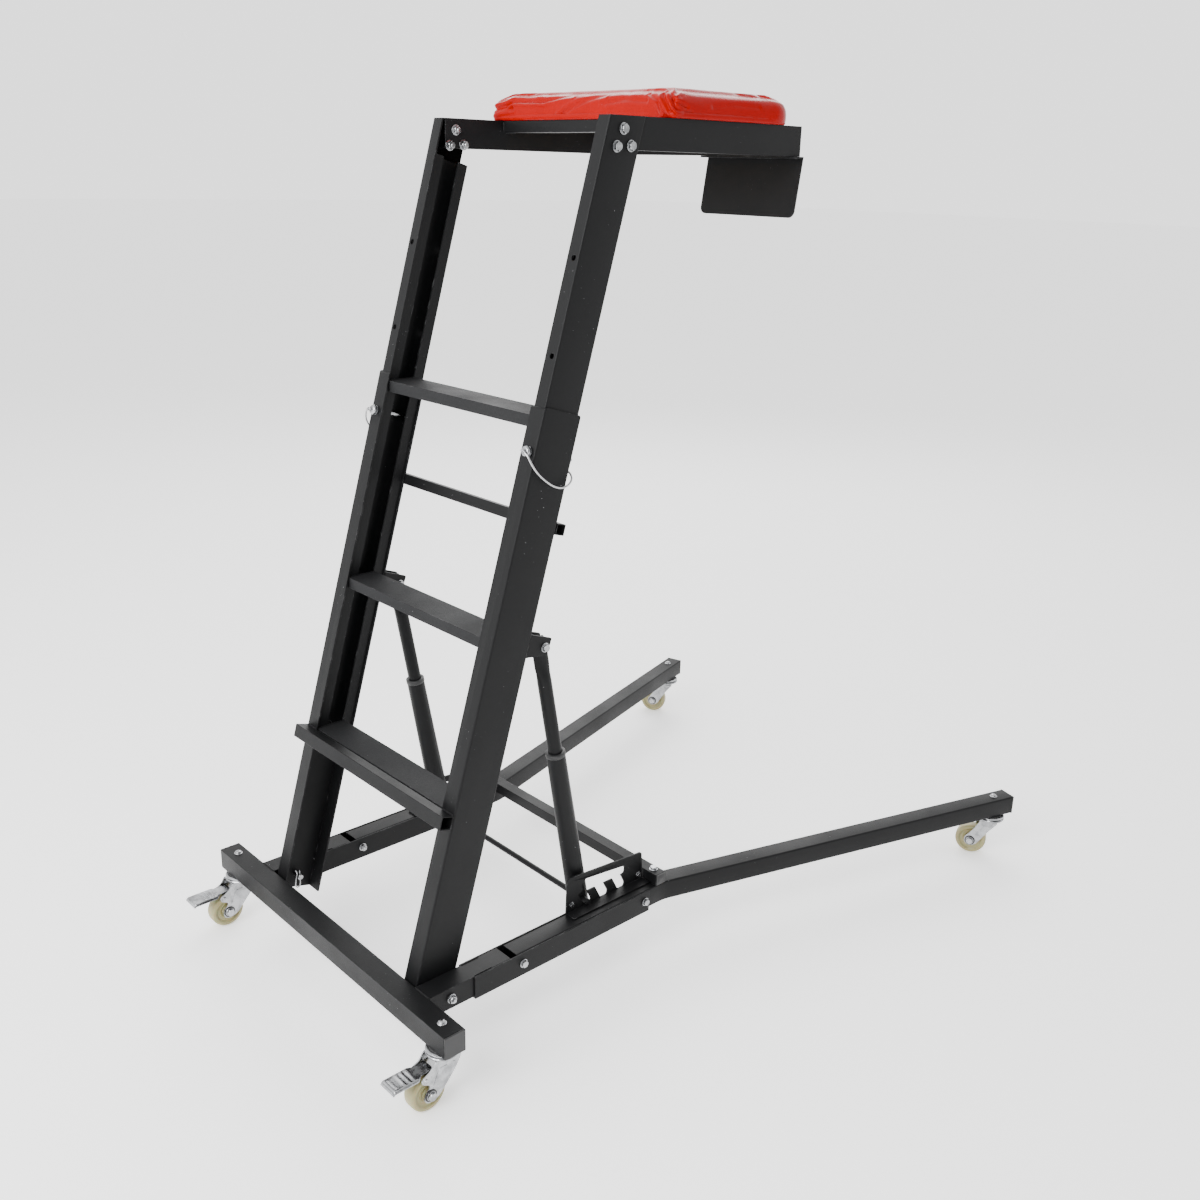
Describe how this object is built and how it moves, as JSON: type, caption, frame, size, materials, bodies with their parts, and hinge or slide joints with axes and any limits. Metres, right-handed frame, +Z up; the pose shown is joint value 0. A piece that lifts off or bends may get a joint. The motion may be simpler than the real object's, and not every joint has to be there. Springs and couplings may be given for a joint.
{
  "type": "folding topside creeper",
  "caption": "Wheeled topside creeper: splayed base on casters, leaning two-stage ladder with struts and locking pins, padded chest deck on top.",
  "frame": {"origin": "on the floor, under the middle of the bounding box, 16 mm to the far side of the ladder's own middle, because both front casters are swivelled to the far side", "axes": "+X from the rear crossbar to the front legs, +Y to the far side, +Z up"},
  "size_m": [1.52, 1.1012, 1.5533],
  "materials": {
    "black_coat": "satin black powder coat with a fine pebble grain",
    "step_paint": "dark grey grainy coat on the treads",
    "zinc": "bright zinc plate",
    "cable": "bare stranded steel cable",
    "wheel_nylon": "cream translucent nylon",
    "black_plastic": "moulded black plastic",
    "red_vinyl": "glossy red vinyl cover over foam",
    "plywood": "raw plywood"
  },
  "bodies": {
    "base": {"rear_crossbar": "black_coat", "crossbar_cap_near": "black_plastic", "crossbar_cap_far": "black_plastic", "side_stub_near": "black_coat", "side_stub_far": "black_coat", "side_channel_near": "black_coat", "side_channel_far": "black_coat", "leg_near": "black_coat", "leg_far": "black_coat", "leg_cap_near": "black_plastic", "leg_cap_far": "black_plastic", "notch_plate_near": "black_coat", "notch_plate_far": "black_coat", "pivot_pin_near": "zinc", "pivot_pin_far": "zinc", "spring_clip_near": "zinc", "spring_clip_far": "zinc", "front_cross_tube": "black_coat"},
    "ladder_lower": {"lower_rail_near": "black_coat", "lower_rail_far": "black_coat", "lower_cross_bar": "black_coat", "front_cross_bar": "black_coat", "strut_bracket_near": "black_coat", "strut_bracket_far": "black_coat", "pin_lanyard_near": "cable", "pin_lanyard_far": "cable"},
    "ladder_upper": {"upper_rail_near": "black_coat", "upper_rail_far": "black_coat", "upper_rung": "step_paint", "middle_rung": "step_paint", "bottom_step": "step_paint", "deck_beam_near": "black_coat", "deck_beam_far": "black_coat", "deck_front_rail": "black_coat", "deck_rear_strip": "black_coat", "deck_flap": "black_coat", "pad_board": "plywood", "chest_pad": "red_vinyl"},
    "strut_inners": {"strut_inner_near": "black_coat", "strut_inner_far": "black_coat"},
    "strut_sleeves": {"strut_sleeve_near": "black_coat", "strut_sleeve_far": "black_coat", "strut_rod": "black_coat"},
    "lock_pin_near": {"lock_pin_near": "zinc"},
    "lock_pin_far": {"lock_pin_far": "zinc"},
    "rear_caster_near_swivel": {"rear_caster_near_fork": "zinc", "rear_caster_near_axle": "zinc"},
    "rear_caster_near_wheel": {"rear_caster_near_wheel": "wheel_nylon"},
    "rear_caster_near_pedal": {"rear_caster_near_brake_pedal": "zinc"},
    "rear_caster_far_swivel": {"rear_caster_far_fork": "zinc", "rear_caster_far_axle": "zinc"},
    "rear_caster_far_wheel": {"rear_caster_far_wheel": "wheel_nylon"},
    "rear_caster_far_pedal": {"rear_caster_far_brake_pedal": "zinc"},
    "front_caster_near_swivel": {"front_caster_near_fork": "zinc", "front_caster_near_axle": "zinc"},
    "front_caster_near_wheel": {"front_caster_near_wheel": "wheel_nylon"},
    "front_caster_far_swivel": {"front_caster_far_fork": "zinc", "front_caster_far_axle": "zinc"},
    "front_caster_far_wheel": {"front_caster_far_wheel": "wheel_nylon"}
  },
  "joints": [
    {"name": "ladder_tilt", "type": "hinge", "parent": "base", "child": "ladder_lower", "pos_m": [-0.59002, -0.01604, 0.122], "axis": [0, 1, 0], "range_deg": [-2, 16]},
    {"name": "height_slide", "type": "slide", "parent": "ladder_lower", "child": "ladder_upper", "axis": [0.2756, 0, 0.9613], "range_m": [-0.3048, 0.1524], "deforming": ["lock_pin_near", "lock_pin_far"]},
    {"name": "strut_swing", "type": "hinge", "parent": "ladder_lower", "child": "strut_inners", "pos_m": [-0.35364, -0.01604, 0.67424], "axis": [0, 1, 0], "range_deg": [-0.5, 1]},
    {"name": "strut_slide", "type": "slide", "parent": "strut_inners", "child": "strut_sleeves", "axis": [0.1848, 0, -0.9828], "range_m": [-0.1, 0.015]},
    {"name": "lock_pin_pull_near", "type": "slide", "parent": "ladder_lower", "child": "lock_pin_near", "axis": [-0.9613, 0, 0.2756], "range_m": [0, 0.1], "deforming": ["pin_lanyard_near"]},
    {"name": "lock_pin_pull_far", "type": "slide", "parent": "ladder_lower", "child": "lock_pin_far", "axis": [-0.9613, 0, 0.2756], "range_m": [0, 0.1], "deforming": ["pin_lanyard_far"]},
    {"name": "rear_caster_near_turn", "type": "hinge", "parent": "base", "child": "rear_caster_near_swivel", "pos_m": [-0.65402, -0.35604, 0.092], "axis": [0, 0, 1], "continuous": true},
    {"name": "rear_caster_near_roll", "type": "hinge", "parent": "rear_caster_near_swivel", "child": "rear_caster_near_wheel", "pos_m": [-0.69002, -0.35604, 0.033], "axis": [0, 1, 0], "continuous": true},
    {"name": "rear_caster_near_brake", "type": "hinge", "parent": "rear_caster_near_swivel", "child": "rear_caster_near_pedal", "pos_m": [-0.68002, -0.35604, 0.0762], "axis": [0, 1, 0], "range_deg": [0, 12]},
    {"name": "rear_caster_far_turn", "type": "hinge", "parent": "base", "child": "rear_caster_far_swivel", "pos_m": [-0.65402, 0.32396, 0.092], "axis": [0, 0, 1], "continuous": true},
    {"name": "rear_caster_far_roll", "type": "hinge", "parent": "rear_caster_far_swivel", "child": "rear_caster_far_wheel", "pos_m": [-0.69002, 0.32396, 0.033], "axis": [0, 1, 0], "continuous": true},
    {"name": "rear_caster_far_brake", "type": "hinge", "parent": "rear_caster_far_swivel", "child": "rear_caster_far_pedal", "pos_m": [-0.68002, 0.32396, 0.0762], "axis": [0, 1, 0], "range_deg": [0, 12]},
    {"name": "front_caster_near_turn", "type": "hinge", "parent": "base", "child": "front_caster_near_swivel", "pos_m": [0.71466, -0.51936, 0.092], "axis": [0, 0, 1], "continuous": true},
    {"name": "front_caster_near_roll", "type": "hinge", "parent": "front_caster_near_swivel", "child": "front_caster_near_wheel", "pos_m": [0.70002, -0.48647, 0.033], "axis": [0.9135, 0.4067, 0], "continuous": true},
    {"name": "front_caster_far_turn", "type": "hinge", "parent": "base", "child": "front_caster_far_swivel", "pos_m": [0.71466, 0.48728, 0.092], "axis": [0, 0, 1], "continuous": true},
    {"name": "front_caster_far_roll", "type": "hinge", "parent": "front_caster_far_swivel", "child": "front_caster_far_wheel", "pos_m": [0.69559, 0.51781, 0.033], "axis": [0.848, 0.5299, 0], "continuous": true}
  ],
  "couplings": [
    {"joint": "strut_swing", "follows": "ladder_tilt", "ratio": 0.015},
    {"joint": "strut_slide", "follows": "ladder_tilt", "m_per_rad": -0.33518}
  ]
}
